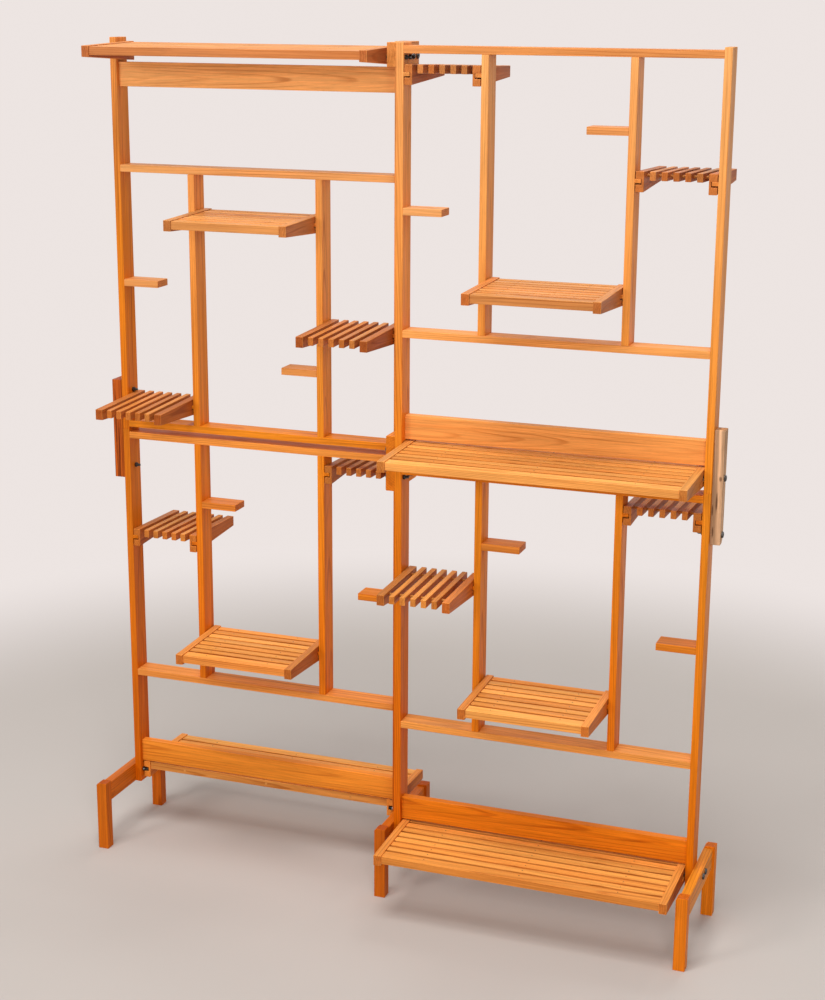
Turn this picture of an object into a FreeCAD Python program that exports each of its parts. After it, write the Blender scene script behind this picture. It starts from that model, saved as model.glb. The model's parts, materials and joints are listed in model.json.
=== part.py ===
# Plant stand of four ladder-like frames, two over two, that carry sixteen slatted shelves.
# Frame: X to the right, Y to the back, Z up, with the origin on the floor under the middle of the stand.
import FreeCAD
import Part
import Sketcher
import os
import re

doc = FreeCAD.newDocument("PlantStand")
sheet = doc.addObject("Spreadsheet::Sheet", "Sizes")

# Driving dimensions in millimetres, apart from the counts.
SIZES = {
    # battens and the frame of one module
    "module_wide": 700,
    "module_high": 900,
    "post_wide": 16,
    "post_deep": 50,
    "rail_high": 16,
    "bay_side": 170,
    "top_rail_drop": 6,
    "low_rail_drop": 602,
    "board_high": 54,
    "board_clear": 3,
    "board_thick": 20,
    "board_inset": 10,
    # small perches on the sides of the posts
    "perch_long": 87,
    "perch_high": 16,
    "perch_inner_drop": 160,
    "perch_outer_drop": 340,
    # where the shelves hang, measured from the top of a module
    "hang_near": 65,
    "hang_far": 266,
    "mid_above_rail": 100,
    "hang_end": 30,
    "cleat_high": 8,
    "cleat_proud": 13,
    # how the two halves stand to each other
    "half_step": 90,
    "block_thick": 21,
    "top_block_high": 50,
    "middle_block_reach": 62,
    # outer plates that hold a lower and an upper post together
    "left_plate_thick": 25,
    "left_plate_over": 25,
    "left_plate_under": 27,
    "right_plate_thick": 22,
    "right_plate_deep": 30,
    "right_plate_over": 42,
    "right_plate_under": 20,
    "right_plate_cut": 12,
    "plate_bolt_reach": 92,
    # feet
    "foot_long": 296,
    "foot_forward": 25,
    "leg_wide": 26,
    "leg_cut": 5,
    "leg_below": 120,
    "leg_above": 50,
    "bearer_high": 46,
    # bolts and nuts
    "bolt_wide": 6,
    "bolt_clearance": 0.4,
    "bolt_spread": 26,
    "head_wide": 14,
    "head_high": 4,
    "head_bevel": 1.5,
    "tip_bevel": 0.8,
    "nut_wide": 10,
    "nut_high": 5,
    # shelves
    "shelf_deep": 208,
    "shelf_play": 2,
    "shelf_droop": 6,
    "bracket_thick": 17,
    "bracket_rise": 21,
    "bracket_high": 42,
    "bracket_tip_high": 24,
    "groove_extra": 2,
    "groove_gap": 1.5,
    "groove_slack": 1,
    "slat_wide": 12,
    "slat_high": 18,
    "cross_slat_wide": 17.5,
    "lip_slat_wide": 28,
    "slat_recess": 3,
    "slat_sink": 2,
    "rod_wide": 6,
    "rod_clearance": 0.4,
    "rod_tip_inset": 38,
    "rod_mount_inset": 32,
    # how far three of the shelves are drawn out of their seats
    "drawn_low_front": 18,
    "drawn_low_rear": 12,
    "drawn_middle": 10,
    # length that every cutter runs past what it cuts
    "overrun": 1,
}

SMALL_SLATS = 5
CROSS_SLATS = 7
MEDIUM_DOWEL_SHARES = (0.2, 0.8)
LARGE_DOWEL_SHARES = (0.15, 0.5, 0.85)

for row, (alias, value) in enumerate(SIZES.items(), start=1):
    sheet.set(f"A{row}", alias)
    sheet.set(f"B{row}", str(value))
    sheet.setAlias(f"B{row}", alias)
doc.recompute()

NODES = {}

# Places of the stand's main planes, worked out from the sizes.
BAY_WIDE = "(module_wide - 2 * post_wide)"
BAY_MID = "(module_wide - 4 * post_wide - 2 * bay_side)"
INNER_POST_LONG = "(low_rail_drop - top_rail_drop - rail_high)"
BOARD_DROP = "(module_high - hang_end - bracket_rise - board_clear - board_high)"
CENTRE_X = "((block_thick + left_plate_thick - right_plate_thick) / 2)"
FRONT_REACH = "(shelf_deep - post_deep + drawn_low_front)"
REAR_REACH = "(half_step + shelf_deep + drawn_low_rear)"
RIGHT_X = CENTRE_X
LEFT_X = f"({CENTRE_X} - block_thick - module_wide)"
RIGHT_Y = f"(({FRONT_REACH} - {REAR_REACH}) / 2)"
LEFT_Y = f"({RIGHT_Y} + half_step)"
LOWER_Z = "leg_below"
UPPER_Z = "(leg_below + module_high)"

# Each module is the same frame: the upper right one is turned half way round about the vertical,
# the upper left one about the line from front to back.
MODULES = {
    "lower_left": {"x": LEFT_X, "y": LEFT_Y, "z": LOWER_Z, "turned": ""},
    "lower_right": {"x": RIGHT_X, "y": RIGHT_Y, "z": LOWER_Z, "turned": ""},
    "upper_left": {"x": LEFT_X, "y": LEFT_Y, "z": UPPER_Z, "turned": "xz"},
    "upper_right": {"x": RIGHT_X, "y": RIGHT_Y, "z": UPPER_Z, "turned": "xy"},
}

# Bays of a module as seen before it is turned: left edge, width and how far down its shelf hangs.
BAYS = {
    "left": ("post_wide", "bay_side", "hang_far"),
    "middle": ("(2 * post_wide + bay_side)", BAY_MID, "(low_rail_drop - mid_above_rail)"),
    "right": (f"(3 * post_wide + bay_side + {BAY_MID})", "bay_side", "hang_near"),
    "whole": ("post_wide", BAY_WIDE, "(module_high - hang_end)"),
}


def bound(text):
    """Turns size names into references to the sheet."""
    words = re.split(r"([A-Za-z_]+)", text)
    return "".join(f"Sizes.{word}" if word in SIZES else word for word in words)


def number(text):
    return float(sheet.evalExpression(bound(text)))


def place(thing, x, y, z):
    for axis, text in zip("xyz", (x, y, z)):
        thing.setExpression(f"Placement.Base.{axis}", bound(text))
    return thing


def keep(name, thing):
    thing.Label = name
    NODES[name] = thing
    return thing


def bar(name, size, corner):
    box = doc.addObject("Part::Box", name)
    for side, text in zip(("Length", "Width", "Height"), size):
        box.setExpression(side, bound(text))
    return place(box, *corner)


def rod(name, wide, long, start):
    """Round bar that runs to the right from its start."""
    round_bar = doc.addObject("Part::Cylinder", name)
    round_bar.setExpression("Radius", bound(f"({wide}) / 2"))
    round_bar.setExpression("Height", bound(long))
    round_bar.Placement.Rotation = FreeCAD.Rotation(FreeCAD.Vector(0, 1, 0), 90)
    return place(round_bar, *start)


def group(name, things):
    together = doc.addObject("Part::Compound", name)
    together.Links = things
    return together


def copy_at(name, thing, corner, turn=0):
    """The same piece again at another place, turned about the vertical."""
    again = group(name, [thing])
    again.Placement.Rotation = FreeCAD.Rotation(FreeCAD.Vector(0, 0, 1), turn)
    return place(again, *corner)


def cut(name, blank, tools):
    drilled = doc.addObject("Part::Cut", name)
    drilled.Base = blank
    drilled.Tool = group(name + "_holes", tools)
    return drilled


def plane(body, role):
    return next(item for item in body.Origin.OriginFeatures if item.Role == role)


def outline(body, name, role, points):
    """Closed sketch of straight sides with both coordinates of each corner bound to the sheet."""
    sketch = body.newObject("Sketcher::SketchObject", name)
    sketch.AttachmentSupport = [(plane(body, role), "")]
    sketch.MapMode = "FlatFace"
    corners = [FreeCAD.Vector(number(across), number(up), 0) for across, up in points]
    for index, corner in enumerate(corners):
        sketch.addGeometry(Part.LineSegment(corner, corners[(index + 1) % len(corners)]), False)
    for index in range(len(points)):
        following = (index + 1) % len(points)
        sketch.addConstraint(Sketcher.Constraint("Coincident", index, 2, following, 1))
    for index, (across, up) in enumerate(points):
        for kind, text in (("DistanceX", across), ("DistanceY", up)):
            mark = sketch.addConstraint(Sketcher.Constraint(kind, -1, 1, index, 1, number(text)))
            sketch.setExpression(f"Constraints[{mark}]", bound(text))
    return sketch


def padded(name, role, points, thick, reverse=False):
    body = doc.addObject("PartDesign::Body", name)
    sketch = outline(body, name + "_outline", role, points)
    pad = body.newObject("PartDesign::Pad", name + "_pad")
    pad.Profile = sketch
    pad.setExpression("Length", bound(thick))
    pad.Reversed = reverse
    body.Tip = pad
    sketch.Visibility = False
    return body


def pocket(body, name, role, points, deep, reverse):
    sketch = outline(body, name + "_outline", role, points)
    opened = body.newObject("PartDesign::Pocket", name)
    opened.Profile = sketch
    opened.setExpression("Length", bound(deep))
    opened.Reversed = reverse
    body.Tip = opened
    return body


def in_module(module, start, size, drop, high, inset="0", deep="post_deep"):
    """Corner of a piece that stands in a module, from its place in the module before the turn."""
    frame = MODULES[module]
    turned = frame["turned"]
    x = f"{frame['x']} + " + (f"module_wide - {start} - {size}" if "x" in turned else start)
    y = f"{frame['y']} + " + (f"post_deep - {inset} - {deep}" if "y" in turned else inset)
    z = f"{frame['z']} + " + (drop if "z" in turned else f"module_high - {drop} - {high}")
    return x, y, z


# Bolts: the post that each goes through, the piece beside it, on which side of the post that piece
# lies, the place in the depth of the post and the height.
LEFT_POST = "0"
RIGHT_POST = "(module_wide - post_wide)"
PAIR = ("(post_deep - bolt_spread) / 2", "(post_deep + bolt_spread) / 2")
SINGLE = ("post_deep / 2",)
UP_FROM_JOINT = f"{UPPER_Z} + hang_end"
DOWN_FROM_JOINT = f"{UPPER_Z} - hang_end"
TOP_LINE = f"{UPPER_Z} + module_high - hang_end"
FOOT_LINE = f"{LOWER_Z} + hang_end"
PLATE_UP = f"{UPPER_Z} + plate_bolt_reach"
PLATE_DOWN = f"{UPPER_Z} - plate_bolt_reach"
JOINTS = [
    ("upper_left", "right", "top_block", "block_thick", PAIR, TOP_LINE),
    ("upper_right", "left", "top_block", "block_thick", PAIR, TOP_LINE),
    ("upper_left", "right", "middle_block", "block_thick", PAIR, UP_FROM_JOINT),
    ("upper_right", "left", "middle_block", "block_thick", PAIR, UP_FROM_JOINT),
    ("lower_left", "right", "middle_block", "block_thick", PAIR, DOWN_FROM_JOINT),
    ("lower_right", "left", "middle_block", "block_thick", PAIR, DOWN_FROM_JOINT),
    ("lower_left", "left", "foot_left_bearer", "block_thick", PAIR, FOOT_LINE),
    ("lower_left", "right", "foot_centre_bearer", "block_thick", PAIR, FOOT_LINE),
    ("lower_right", "left", "foot_centre_bearer", "block_thick", PAIR, FOOT_LINE),
    ("lower_right", "right", "foot_right_bearer", "block_thick", PAIR, FOOT_LINE),
    ("upper_left", "left", "left_plate", "left_plate_thick", SINGLE, PLATE_UP),
    ("lower_left", "left", "left_plate", "left_plate_thick", SINGLE, PLATE_DOWN),
    ("upper_right", "right", "right_plate", "right_plate_thick", SINGLE, UP_FROM_JOINT),
    ("lower_right", "right", "right_plate", "right_plate_thick", SINGLE, PLATE_DOWN),
]

BOLTS = []
for module, side, carrier, thick, depths, height in JOINTS:
    for depth in depths:
        BOLTS.append({"module": module, "side": side, "carrier": carrier, "thick": thick,
                      "y": f"{MODULES[module]['y']} + {depth}", "z": height})


def post_left_edge(module, side):
    return f"{MODULES[module]['x']} + {LEFT_POST if side == 'left' else RIGHT_POST}"


def drill(name, left, long, bolts):
    """Clearance holes for the bolts that pass through a piece from its left face to its right face."""
    holes = []
    for index, bolt in enumerate(bolts):
        start = (f"{left} - overrun", bolt["y"], bolt["z"])
        hole = rod(f"{name}_hole_{index}", "bolt_wide + bolt_clearance", f"{long} + 2 * overrun", start)
        holes.append(hole)
    return holes


def bored(name, blank, left, long, bolts):
    return keep(name, cut(name, blank, drill(name, left, long, bolts)))


def bolts_in(carrier):
    return [bolt for bolt in BOLTS if bolt["carrier"] == carrier]


# The four modules: two outer posts, two inner posts, two rails, a wide board and two perches each.
def make_module(module):
    for side, start in (("left", LEFT_POST), ("right", RIGHT_POST)):
        name = f"{module}_outer_post_{side}"
        frame = MODULES[module]
        corner = (post_left_edge(module, side), frame["y"], frame["z"])
        blank = bar(name + "_blank", ("post_wide", "post_deep", "module_high"), corner)
        bolts = [bolt for bolt in BOLTS if bolt["module"] == module and bolt["side"] == side]
        bored(name, blank, corner[0], "post_wide", bolts)
    inner_starts = {"left": "(post_wide + bay_side)",
                    "right": f"(2 * post_wide + bay_side + {BAY_MID})"}
    for side, start in inner_starts.items():
        name = f"{module}_inner_post_{side}"
        drop = "(top_rail_drop + rail_high)"
        corner = in_module(module, start, "post_wide", drop, INNER_POST_LONG)
        keep(name, bar(name, ("post_wide", "post_deep", INNER_POST_LONG), corner))
    for part, drop in (("top_rail", "top_rail_drop"), ("lower_rail", "low_rail_drop")):
        name = f"{module}_{part}"
        corner = in_module(module, "post_wide", BAY_WIDE, drop, "rail_high")
        keep(name, bar(name, (BAY_WIDE, "post_deep", "rail_high"), corner))
    name = f"{module}_wide_board"
    corner = in_module(module, "post_wide", BAY_WIDE, BOARD_DROP, "board_high",
                       "board_inset", "board_thick")
    keep(name, bar(name, (BAY_WIDE, "board_thick", "board_high"), corner))
    perches = []
    perch_starts = {"inner": ("(2 * post_wide + bay_side)", "perch_inner_drop"),
                    "outer": ("(module_wide - post_wide - perch_long)", "perch_outer_drop")}
    for part, (start, drop) in perch_starts.items():
        corner = in_module(module, start, "perch_long", drop, "perch_high")
        perches.append(bar(f"{module}_perch_{part}", ("perch_long", "post_deep", "perch_high"), corner))
    keep(f"{module}_perches", group(f"{module}_perches", perches))


# Cleats on the facing sides of the posts. Their tops lie as high as the flats of the nuts,
# so that a shelf hangs level from either.
def make_cleats():
    cleats = []
    rise = "nut_wide / 2"
    sites = [(module, bay, end) for module in MODULES for bay in ("left", "middle", "right")
             for end in ("near", "far")]
    sites.append(("upper_left", "whole", "far"))
    for module, bay, end in sites:
        start, wide, hang = BAYS[bay]
        at = start if end == "near" else f"({start} + {wide} - cleat_proud)"
        x, y, _ = in_module(module, at, "cleat_proud", hang, "0")
        z = f"{hang_height(module, bay)} + {rise} - cleat_high"
        cleats.append(bar(f"cleat_{len(cleats)}", ("cleat_proud", "post_deep", "cleat_high"), (x, y, z)))
    keep("shelf_cleats", group("shelf_cleats", cleats))


def hang_height(module, bay):
    """Height of the line that a shelf hangs on."""
    hang = BAYS[bay][2]
    if "z" in MODULES[module]["turned"]:
        return f"{MODULES[module]['z']} + {hang}"
    return f"{MODULES[module]['z']} + module_high - {hang}"


# Blocks between the halves, which reach from the front of one half to the back of the other.
def make_blocks():
    deep = "(half_step + post_deep)"
    left = f"{CENTRE_X} - block_thick"
    spans = {"top_block": (f"{UPPER_Z} + module_high - top_block_high", "top_block_high"),
             "middle_block": (f"{UPPER_Z} - middle_block_reach", "2 * middle_block_reach")}
    for name, (low, high) in spans.items():
        blank = bar(name + "_blank", ("block_thick", deep, high), (left, RIGHT_Y, low))
        bored(name, blank, left, "block_thick", bolts_in(name))


# Plates on the outer faces of the stand. The right one is a thin strip with a corner cut off.
def make_plates():
    left = f"{LEFT_X} - left_plate_thick"
    low = f"{UPPER_Z} - plate_bolt_reach - left_plate_under"
    high = "2 * plate_bolt_reach + left_plate_under + left_plate_over"
    blank = bar("left_plate_blank", ("left_plate_thick", "post_deep", high), (left, LEFT_Y, low))
    bored("left_plate", blank, left, "left_plate_thick", bolts_in("left_plate"))
    top = "plate_bolt_reach + right_plate_over"
    bottom = "-plate_bolt_reach - right_plate_under"
    points = [("0", bottom), ("right_plate_deep - right_plate_cut", bottom),
              ("right_plate_deep", f"{bottom} + right_plate_cut"), ("right_plate_deep", top), ("0", top)]
    strip = padded("right_plate_blank", "YZ_Plane", points, "right_plate_thick")
    right = f"{RIGHT_X} + module_wide"
    place(strip, right, f"{RIGHT_Y} + (post_deep - right_plate_deep) / 2", UPPER_Z)
    bored("right_plate", strip, right, "right_plate_thick", bolts_in("right_plate"))


# Feet: a bearer bolted to the posts, its underside flush with their ends, and a square leg at each
# of its own ends. The front leg is flush with the bearer on the right, the rear one on the left,
# and each leg has its upper left corner cut. The feet reach further to the front than to the back.
def make_feet():
    feet = {
        "left": (f"{LEFT_X} - block_thick", LEFT_Y),
        "centre": (f"{CENTRE_X} - block_thick", LEFT_Y),
        "right": (f"{RIGHT_X} + module_wide", RIGHT_Y),
    }
    leg_high = "leg_below + leg_above"
    points = [("0", "0"), ("leg_wide", "0"), ("leg_wide", leg_high), ("leg_cut", leg_high),
              ("0", f"{leg_high} - leg_cut")]
    leg = padded("leg", "XZ_Plane", points, "leg_wide", reverse=True)
    legs = []
    for side, (left, post_front) in feet.items():
        name = f"foot_{side}_bearer"
        front = f"({post_front} + post_deep / 2 - foot_forward - foot_long / 2)"
        long = "(foot_long - 2 * leg_wide)"
        corner = (left, f"{front} + leg_wide", "leg_below")
        blank = bar(name + "_blank", ("block_thick", long, "bearer_high"), corner)
        bored(name, blank, left, "block_thick", bolts_in(name))
        front_corner = (f"{left} + block_thick - leg_wide", front, "0")
        rear_corner = (left, f"{front} + foot_long - leg_wide", "0")
        legs.append(copy_at(f"leg_{side}_front", leg, front_corner))
        legs.append(copy_at(f"leg_{side}_rear", leg, rear_corner))
    keep("foot_legs", group("foot_legs", legs))


# Bolts with a low bevelled head outside and a hexagon nut on the inner side of the post.
def make_bolt(name, thick):
    """Bolt whose shank runs to the right from the inner side of its head at the origin."""
    shank = f"{thick} + post_wide + cleat_proud"
    body = doc.addObject("PartDesign::Body", name)
    head = "head_wide / 2"
    radius = "bolt_wide / 2"
    points = [("-head_high", "0"), (shank, "0"), (shank, f"{radius} - tip_bevel"),
              (f"{shank} - tip_bevel", radius), ("0", radius), ("0", head),
              ("head_bevel - head_high", head), ("-head_high", f"{head} - head_bevel")]
    sketch = outline(body, name + "_half", "XZ_Plane", points)
    turned = body.newObject("PartDesign::Revolution", name + "_turned")
    turned.Profile = sketch
    turned.ReferenceAxis = (sketch, ["H_Axis"])
    turned.Angle = 360
    body.Tip = turned
    return body


def make_nut():
    """Nut that lies to the right of the origin, with two flats level."""
    body = doc.addObject("PartDesign::Body", "nut")
    flat = "nut_wide / 2"
    corner = f"{flat} / cos(30 deg)"
    side = f"{flat} * tan(30 deg)"
    points = [(corner, "0"), (side, flat), (f"-({side})", flat), (f"-({corner})", "0"),
              (f"-({side})", f"-({flat})"), (side, f"-({flat})")]
    sketch = outline(body, "nut_outline", "YZ_Plane", points)
    pad = body.newObject("PartDesign::Pad", "nut_pad")
    pad.Profile = sketch
    pad.setExpression("Length", bound("nut_high"))
    body.Tip = pad
    ring = body.newObject("Sketcher::SketchObject", "nut_bore_outline")
    ring.AttachmentSupport = [(plane(body, "YZ_Plane"), "")]
    ring.MapMode = "FlatFace"
    radius = "(bolt_wide + bolt_clearance) / 2"
    ring.addGeometry(Part.Circle(FreeCAD.Vector(), FreeCAD.Vector(0, 0, 1), number(radius)), False)
    ring.addConstraint(Sketcher.Constraint("Coincident", 0, 3, -1, 1))
    mark = ring.addConstraint(Sketcher.Constraint("Radius", 0, number(radius)))
    ring.setExpression(f"Constraints[{mark}]", bound(radius))
    bore = body.newObject("PartDesign::Pocket", "nut_bore")
    bore.Profile = ring
    bore.setExpression("Length", bound("nut_high + overrun"))
    bore.Reversed = True
    body.Tip = bore
    return body


def make_fasteners():
    masters = {}
    for bolt in BOLTS:
        thick = bolt["thick"]
        if thick not in masters:
            masters[thick] = make_bolt(f"bolt_for_{thick}", thick)
    nut = make_nut()
    bolts = []
    nuts = []
    for index, bolt in enumerate(BOLTS):
        edge = post_left_edge(bolt["module"], bolt["side"])
        outside_right = bolt["side"] == "right"
        turn = 180 if outside_right else 0
        if outside_right:
            head_x = f"{edge} + post_wide + {bolt['thick']}"
            nut_x = edge
        else:
            head_x = f"{edge} - {bolt['thick']}"
            nut_x = f"{edge} + post_wide"
        bolts.append(copy_at(f"bolt_{index}", masters[bolt["thick"]], (head_x, bolt["y"], bolt["z"]), turn))
        nuts.append(copy_at(f"nut_{index}", nut, (nut_x, bolt["y"], bolt["z"]), turn))
    keep("bolts", group("bolts", bolts))
    keep("nuts", group("nuts", nuts))


# Shelves: two tapered brackets, grooved at the end that hangs on the posts, and slats between them.
# A shelf is drawn with its hanging end at Y zero, its line of support at Z zero and its left side
# at X zero, and it reaches to the back. Its top falls a little towards the free end,
# as the play in the grooves lets it.
SLOPE = "(shelf_droop / shelf_deep)"


def top_at(depth):
    return f"(bracket_rise - {SLOPE} * ({depth}))"


def dowel_at(depth):
    """Height of the dowels, half way down the slats that they tie together."""
    return f"{top_at(depth)} - slat_sink - slat_high / 2"


def slat_profile(near, far, sink):
    """Section of a slat between two depths, its top sunk from the tops of the brackets."""
    return [(near, f"{top_at(near)} - {sink} - slat_high"), (far, f"{top_at(far)} - {sink} - slat_high"),
            (far, f"{top_at(far)} - {sink}"), (near, f"{top_at(near)} - {sink}")]


def dowel(name, wide, long, across, depth):
    """Round bar that runs to the free edge, sloped like the tops of the slats."""
    sloped = rod(name, wide, long, (across, depth, dowel_at(depth)))
    sloped.Placement.Rotation = FreeCAD.Rotation(FreeCAD.Vector(-1, 0, 0), 90)
    sloped.setExpression("Placement.Rotation.Angle", bound(f"90 deg + atan({SLOPE})"))
    return sloped


def make_bracket(side):
    tip_low = f"{top_at('shelf_deep')} - bracket_tip_high"
    points = [("0", "bracket_rise - bracket_high"), ("shelf_deep", tip_low),
              ("shelf_deep", top_at("shelf_deep")), ("0", "bracket_rise")]
    mirrored = side == "right"
    body = padded(f"bracket_{side}", "YZ_Plane", points, "bracket_thick", reverse=mirrored)
    roof = "nut_wide / 2"
    floor = "-nut_wide / 2 - groove_slack"
    end = "post_deep + groove_extra"
    groove = [("-overrun", floor), (end, floor), (end, roof), ("-overrun", roof)]
    deep = "cleat_proud + groove_gap - shelf_play"
    return pocket(body, f"groove_{side}", "YZ_Plane", groove, deep, reverse=not mirrored)


def make_slatted_shelf(kind, bay, brackets, dowel_shares):
    """Shelf whose slats run from bracket to bracket, with a wider one along the free edge.

    Dowels go through all the slats and end half way into the wider one.
    """
    inner = f"({bay} - 2 * shelf_play - 2 * bracket_thick)"
    pitch = f"((shelf_deep - 2 * slat_recess - lip_slat_wide) / {CROSS_SLATS})"
    hole_wide = "rod_wide + rod_clearance"
    lip_near = "(shelf_deep - slat_recess - lip_slat_wide)"
    lip_far = "(shelf_deep - slat_recess)"
    slat_holes = []
    lip_holes = []
    dowels = []
    for index, share in enumerate(dowel_shares):
        across = f"{inner} * {share}"
        through = "cross_slat_wide + 2 * overrun"
        slat_holes.append(dowel(f"{kind}_slat_hole_{index}", hole_wide, through, across, "-overrun"))
        into_lip = "lip_slat_wide / 2 + rod_clearance + overrun"
        lip_holes.append(dowel(f"{kind}_lip_hole_{index}", hole_wide, into_lip, across, f"{lip_near} - overrun"))
        dowel_long = f"{lip_near} + lip_slat_wide / 2 - slat_recess"
        dowels.append(dowel(f"{kind}_dowel_{index}", "rod_wide", dowel_long,
                            f"bracket_thick + {across}", "slat_recess"))
    slat_outline = slat_profile("0", "cross_slat_wide", "slat_sink")
    slat_blank = padded(f"{kind}_slat_blank", "YZ_Plane", slat_outline, inner)
    slat = cut(f"{kind}_slat", slat_blank, slat_holes)
    lip_blank = padded(f"{kind}_lip_blank", "YZ_Plane", slat_profile(lip_near, lip_far, "slat_sink"), inner)
    lip = place(cut(f"{kind}_lip", lip_blank, lip_holes), "bracket_thick", "0", "0")
    pieces = brackets_for(kind, bay, brackets) + dowels
    pieces.append(lip)
    for index in range(CROSS_SLATS):
        near = f"(slat_recess + {index} * {pitch})"
        corner = ("bracket_thick", near, f"-{SLOPE} * {near}")
        pieces.append(copy_at(f"{kind}_slat_{index}", slat, corner))
    return group(f"{kind}_shelf", pieces)


def make_small_shelf(bay, brackets):
    """Shelf whose slats run from the posts to the free edge and are threaded on two rods."""
    inner = f"({bay} - 2 * shelf_play - 2 * bracket_thick)"
    gap = f"(({inner} - {SMALL_SLATS} * slat_wide) / {SMALL_SLATS + 1})"
    depths = ("rod_mount_inset", "(shelf_deep - rod_tip_inset)")
    places = [(depth, f"{top_at(depth)} - slat_high / 2") for depth in depths]
    blank = padded("small_slat_blank", "YZ_Plane", slat_profile("0", "shelf_deep", "0"), "slat_wide")
    holes = [rod(f"small_slat_hole_{index}", "rod_wide + rod_clearance", "slat_wide + 2 * overrun",
                 ("-overrun", depth, height)) for index, (depth, height) in enumerate(places)]
    slat = cut("small_slat", blank, holes)
    pieces = brackets_for("small", bay, brackets)
    for index in range(SMALL_SLATS):
        x = f"bracket_thick + {gap} + {index} * (slat_wide + {gap})"
        pieces.append(copy_at(f"small_slat_{index}", slat, (x, "0", "0")))
    for index, (depth, height) in enumerate(places):
        pieces.append(rod(f"small_rod_{index}", "rod_wide", inner, ("bracket_thick", depth, height)))
    return group("small_shelf", pieces)


def brackets_for(kind, bay, brackets):
    left = copy_at(f"{kind}_bracket_left", brackets["left"], ("0", "0", "0"))
    right = copy_at(f"{kind}_bracket_right", brackets["right"], (f"{bay} - 2 * shelf_play", "0", "0"))
    return [left, right]


# Each shelf: its module, its bay before the module's turn, the way it reaches and how far it is drawn.
SHELVES = {
    "shelf_upper_left_wide_front": ("upper_left", "whole", "front", "0"),
    "shelf_upper_left_middle_front": ("upper_left", "middle", "front", "0"),
    "shelf_upper_left_inner_front": ("upper_left", "left", "front", "0"),
    "shelf_upper_left_outer_front": ("upper_left", "right", "front", "0"),
    "shelf_upper_right_wide_front": ("upper_right", "whole", "front", "0"),
    "shelf_upper_right_middle_front": ("upper_right", "middle", "front", "drawn_middle"),
    "shelf_upper_right_inner_rear": ("upper_right", "right", "rear", "0"),
    "shelf_upper_right_outer_rear": ("upper_right", "left", "rear", "0"),
    "shelf_lower_left_wide_rear": ("lower_left", "whole", "rear", "drawn_low_rear"),
    "shelf_lower_left_middle_front": ("lower_left", "middle", "front", "0"),
    "shelf_lower_left_outer_rear": ("lower_left", "left", "rear", "0"),
    "shelf_lower_left_inner_rear": ("lower_left", "right", "rear", "0"),
    "shelf_lower_right_wide_front": ("lower_right", "whole", "front", "drawn_low_front"),
    "shelf_lower_right_middle_front": ("lower_right", "middle", "front", "0"),
    "shelf_lower_right_inner_front": ("lower_right", "left", "front", "0"),
    "shelf_lower_right_outer_rear": ("lower_right", "right", "rear", "0"),
}


def make_shelves():
    brackets = {side: make_bracket(side) for side in ("left", "right")}
    small = make_small_shelf("bay_side", brackets)
    medium = make_slatted_shelf("medium", BAY_MID, brackets, MEDIUM_DOWEL_SHARES)
    large = make_slatted_shelf("large", BAY_WIDE, brackets, LARGE_DOWEL_SHARES)
    kinds = {"left": small, "right": small, "middle": medium, "whole": large}
    for name, (module, bay, way, drawn) in SHELVES.items():
        start, wide, hang = BAYS[bay]
        x, y, _ = in_module(module, start, wide, hang, "0")
        z = hang_height(module, bay)
        if way == "rear":
            corner = (f"{x} + shelf_play", f"{y} + {drawn}", z)
            shelf = copy_at(name, kinds[bay], corner)
        else:
            corner = (f"{x} + {wide} - shelf_play", f"{y} + post_deep - {drawn}", z)
            shelf = copy_at(name, kinds[bay], corner, 180)
        keep(name, shelf)


for module in MODULES:
    make_module(module)
make_cleats()
make_blocks()
make_plates()
make_feet()
make_fasteners()
make_shelves()
doc.recompute()

for item in doc.Objects:
    if "Invalid" in item.State or "Error" in item.State:
        raise RuntimeError(f"{item.Name} did not recompute: {item.State}")
for name, item in NODES.items():
    if item.Shape.isNull() or not item.Shape.isValid():
        raise RuntimeError(f"{name} has no valid shape")

os.makedirs("parts", exist_ok=True)
for name, item in NODES.items():
    item.Shape.exportStep(f"parts/{name}.step")

whole = Part.makeCompound([item.Shape for item in NODES.values()])
box = whole.BoundBox
print(f"{len(NODES)} nodes, {len(whole.Solids)} solids")
print(f"X {box.XMin:.1f} to {box.XMax:.1f}, Y {box.YMin:.1f} to {box.YMax:.1f}, Z {box.ZMin:.1f} to {box.ZMax:.1f}")
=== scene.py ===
# Slatted plant stand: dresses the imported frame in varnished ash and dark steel.
import json
import math
import random

import bmesh
import bpy
from mathutils import Matrix, Vector


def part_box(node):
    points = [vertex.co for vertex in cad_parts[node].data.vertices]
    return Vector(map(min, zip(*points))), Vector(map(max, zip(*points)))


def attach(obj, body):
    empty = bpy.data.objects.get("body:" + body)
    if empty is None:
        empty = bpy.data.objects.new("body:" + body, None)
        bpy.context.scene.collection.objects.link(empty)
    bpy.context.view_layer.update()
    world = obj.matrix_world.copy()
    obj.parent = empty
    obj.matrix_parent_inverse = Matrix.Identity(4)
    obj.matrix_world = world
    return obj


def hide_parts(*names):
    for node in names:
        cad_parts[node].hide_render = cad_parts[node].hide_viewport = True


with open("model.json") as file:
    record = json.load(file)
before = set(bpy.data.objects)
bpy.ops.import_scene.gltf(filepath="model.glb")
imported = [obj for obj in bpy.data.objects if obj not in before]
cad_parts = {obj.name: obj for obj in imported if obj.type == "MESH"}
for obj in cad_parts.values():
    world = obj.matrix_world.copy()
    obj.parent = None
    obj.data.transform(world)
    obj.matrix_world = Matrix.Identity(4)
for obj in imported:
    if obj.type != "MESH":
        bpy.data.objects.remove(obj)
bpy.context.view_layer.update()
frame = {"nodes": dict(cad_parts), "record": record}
scene = bpy.context.scene
shelfNodes = [name for name in frame["nodes"] if name.startswith("shelf_") and name != "shelf_cleats"]
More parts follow.
